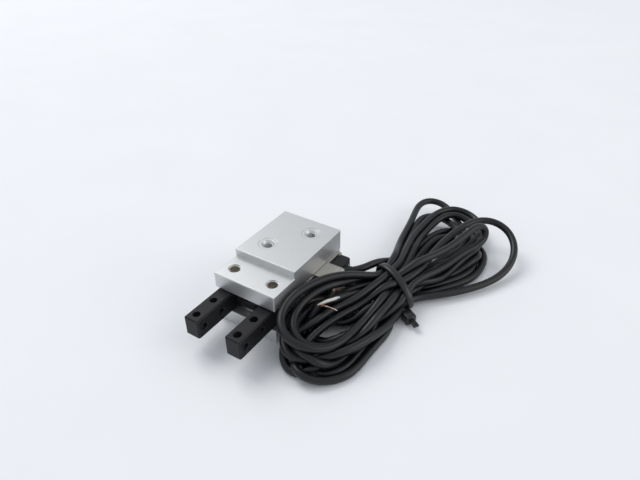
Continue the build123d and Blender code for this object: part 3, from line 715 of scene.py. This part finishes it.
def strap_piece():
    """The band of the cable tie, swept round the waist of the hank."""
    across = Vector((math.cos(STRAP_ANGLE), -math.sin(STRAP_ANGLE), 0))
    along = Vector((math.sin(STRAP_ANGLE), math.cos(STRAP_ANGLE), 0))
    up = Vector((0, 0, 1))
    roll = Matrix.Rotation(WAIST_ROLL, 3, along)
    wide, high = roll @ across, roll @ up
    centre = Vector((*HANK_CENTRE, WAIST_Z))
    shape = bmesh.new()
    rings = []
    for step in range(STRAP_STEPS):
        angle = 2 * math.pi * step / STRAP_STEPS
        seat = centre + wide * WAIST_HALF_W * math.cos(angle) + high * WAIST_HALF_H * math.sin(angle)
        out = (wide * math.cos(angle) / WAIST_HALF_W + high * math.sin(angle) / WAIST_HALF_H).normalized()
        ring = []
        for side, level in STRAP_SECTION:
            place = seat + along * side * STRAP_WIDTH + out * level * STRAP_THICKNESS
            ring.append(shape.verts.new(place * MM))
        rings.append(ring)
    for ring, beyond in zip(rings, rings[1:] + rings[:1]):
        for index in range(len(STRAP_SECTION)):
            other = (index + 1) % len(STRAP_SECTION)
            shape.faces.new((ring[index], ring[other], beyond[other], beyond[index]))
    return mesh_piece("tie_band", shape)


HEAD_SIZE = (5.4, 4.6, 4.2)
HEAD_AT = (54.9, 15.8, 2.6)
HEAD_TURN = math.radians(-33)
HEAD_ROUNDING = 0.55
RIM_INSET = 0.75                                 # from the middle of a raised rim to the side of the head
RIM_SIZE = (HEAD_SIZE[0] - 1.4, 0.5, 0.4)
PAWL_SIZE = (2.2, 1.5, 0.45)
PAWL_X = 0.5
TAIL_LENGTH = 4.0
TAIL_SIDES = (2.6, 1.0)                          # width and thickness
TAIL_LAP = 0.2                                   # how far it starts inside the head
TAIL_RIBS = 7
RIB_SIZE = (0.25, 2.2, 0.3)
RIB_Z = 0.55


def head_pieces():
    """Ratchet head of the tie, its raised frame and pawl, and the ribbed cut tail."""
    place = Matrix.Translation(Vector(HEAD_AT) * MM) @ Matrix.Rotation(HEAD_TURN, 4, "Z")
    pieces = [box_piece("tie_block", HEAD_SIZE, place, HEAD_ROUNDING)]
    half_x, half_y, half_z = (part / 2 for part in HEAD_SIZE)
    for name, size, at in (
            ("tie_rim_front", RIM_SIZE, (0, half_y - RIM_INSET, half_z)),
            ("tie_rim_back", RIM_SIZE, (0, RIM_INSET - half_y, half_z)),
            ("tie_pawl", PAWL_SIZE, (PAWL_X, 0, half_z))):
        pieces.append(box_piece(name, size, place @ Matrix.Translation(Vector(at) * MM), 0.15, 2))
    tail_x = half_x + TAIL_LENGTH / 2 - TAIL_LAP
    tail_at = place @ Matrix.Translation(Vector((tail_x, 0, 0)) * MM)
    pieces.append(box_piece("tie_tail", (TAIL_LENGTH, *TAIL_SIDES), tail_at, 0.2, 2))
    for rib in range(TAIL_RIBS):
        x = half_x + (rib + 0.5) * TAIL_LENGTH / TAIL_RIBS
        at = place @ Matrix.Translation(Vector((x, 0, RIB_Z)) * MM)
        pieces.append(box_piece(f"tie_rib_{rib}", RIB_SIZE, at, 0.08, 1))
    return pieces


IVORY, BROWN = (0.80, 0.77, 0.70), (0.20, 0.075, 0.035)
COPPER, TINNED = (0.78, 0.58, 0.45), (0.78, 0.75, 0.71)
# Conductors: piece, route on from the end of the jacket, radius,
# colours of insulation and wire, share of the route where it is stripped.
CORES = {
    "upper": (
        ("core_upper_ivory",
         ((27.6, -7.8, 15.8), (29.8, -5.4, 16.2), (31.6, -3.4, 16.8), (31.9, -3.1, 16.9)),
         0.62, IVORY, TINNED, 0.86),
        ("core_upper_brown",
         ((28.0, -9.8, 15.5), (30.8, -8.7, 15.0), (33.6, -8.9, 15.1), (34.4, -9.0, 15.1)),
         0.45, BROWN, COPPER, 0.4)),
    "lower": (
        ("core_lower_ivory", ((26.3, 2.6, 16.2), (25.9, 4.8, 16.9), (25.8, 6.0, 17.2)),
         0.5, IVORY, TINNED, 0.6),
        ("core_lower_brown", ((27.2, 2.4, 15.6), (28.0, 4.0, 16.5), (28.2, 4.8, 16.8)),
         0.5, BROWN, COPPER, 0.6)),
}


def core_pieces(name):
    """Both conductors of a lead's stripped end."""
    pieces = []
    for title, route, radius, insulated, bare, strip_at in CORES[name]:
        points = (END_ROUTES[name][-1], *route)
        piece = tube_piece(title, points, radius, ring_steps=4, span_steps=6, stripped_at=strip_at)
        coat(piece, conductor(title, insulated, bare, points[0], points[-1], strip_at))
        pieces.append(piece)
    return pieces


THREAD_R = 2.1
THREAD_CREST = 0.2                     # radius of the wire that stands for the crest
THREAD_PITCH = 0.8
THREAD_TURNS = 7
THREAD_TOP = 26.8
THREAD_STEPS = 16                      # points in one turn


def thread_piece(name, x, y):
    """The crest of the thread inside a tapped hole, as a helix."""
    data = bpy.data.curves.new(name, "CURVE")
    data.dimensions = "3D"
    data.bevel_depth = THREAD_CREST * MM
    data.bevel_resolution = 2
    spline = data.splines.new("POLY")
    count = THREAD_TURNS * THREAD_STEPS
    spline.points.add(count - 1)
    for index, point in enumerate(spline.points):
        angle = 2 * math.pi * index / THREAD_STEPS
        place = (
            x + THREAD_R * math.cos(angle),
            y + THREAD_R * math.sin(angle),
            THREAD_TOP - THREAD_PITCH * index / THREAD_STEPS)
        point.co = (*(value * MM for value in place), 1.0)
    return new_object(name, data)


# ---------------------------------------------------------------- what stands for what
band = strap_piece()
head = head_pieces()
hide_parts("tie_strap")
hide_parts("tie_head")
for piece in [band] + head:
    coat(piece, MATERIALS["tie_nylon"])
    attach(piece, "body")

cores = {name: core_pieces(name) for name in NAMES}
for name in NAMES:
    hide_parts(f"cores_{name}")
    for piece in cores[name]:
        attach(piece, "body")

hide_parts("lead_upper", "lead_hank")
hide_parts("lead_lower")
for name in NAMES:
    cord = CORDS[name]
    coat(cord, MATERIALS["cable_jacket"])
    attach(cord, "body")

for index, (x, y) in enumerate(TOP_HOLES):
    thread = thread_piece(f"thread_{index}", x, y)
    coat(thread, MATERIALS["anodised"])
    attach(thread, "body")


# ---------------------------------------------------------------- floor and light
FLOOR_SIZE = 4.0
FLOOR_DARK, FLOOR_LIGHT = (0.875, 0.885, 0.905), (0.895, 0.905, 0.925)
LIGHTS = (                             # name, place, side, watts, colour
    ("key", (-1.7, 0.45, 2.1), 1.5, 31.0, (1.0, 0.99, 0.97)),
    ("fill", (1.5, 0.5, 0.9), 1.2, 7.0, (1.0, 0.96, 0.90)),
)
LIGHTS_LOOK_AT = Vector((0.02, 0.02, 0.01))
SKY_COLOUR = (0.86, 0.90, 0.96, 1.0)
SKY_STRENGTH = 0.66


def make_floor():
    """A pale plain floor."""
    shape = bmesh.new()
    bmesh.ops.create_grid(shape, x_segments=1, y_segments=1, size=FLOOR_SIZE)
    floor = mesh_piece("floor", shape)
    paint = Paint("floor")
    cloud = paint.noise(60.0, 3.0)
    coat(floor, paint.done(paint.blend(paint.spread(cloud), FLOOR_DARK, FLOOR_LIGHT), 0.75))


def make_light(name, at, size, power, colour):
    """A large soft area light that looks at the object."""
    data = bpy.data.lights.new(name, "AREA")
    data.shape = "SQUARE"
    data.size = size
    data.energy = power
    data.color = colour
    light = new_object(name, data)
    light.location = at
    aim = LIGHTS_LOOK_AT - Vector(at)
    light.rotation_euler = aim.to_track_quat("-Z", "Y").to_euler()


def make_world():
    """Even pale light from all round."""
    world = bpy.data.worlds.new("world")
    world.use_nodes = True
    sky = world.node_tree.nodes["Background"]
    sky.inputs["Color"].default_value = SKY_COLOUR
    sky.inputs["Strength"].default_value = SKY_STRENGTH
    bpy.context.scene.world = world


make_floor()
for light in LIGHTS:
    make_light(*light)
make_world()
bpy.context.scene.view_settings.view_transform = "Standard"
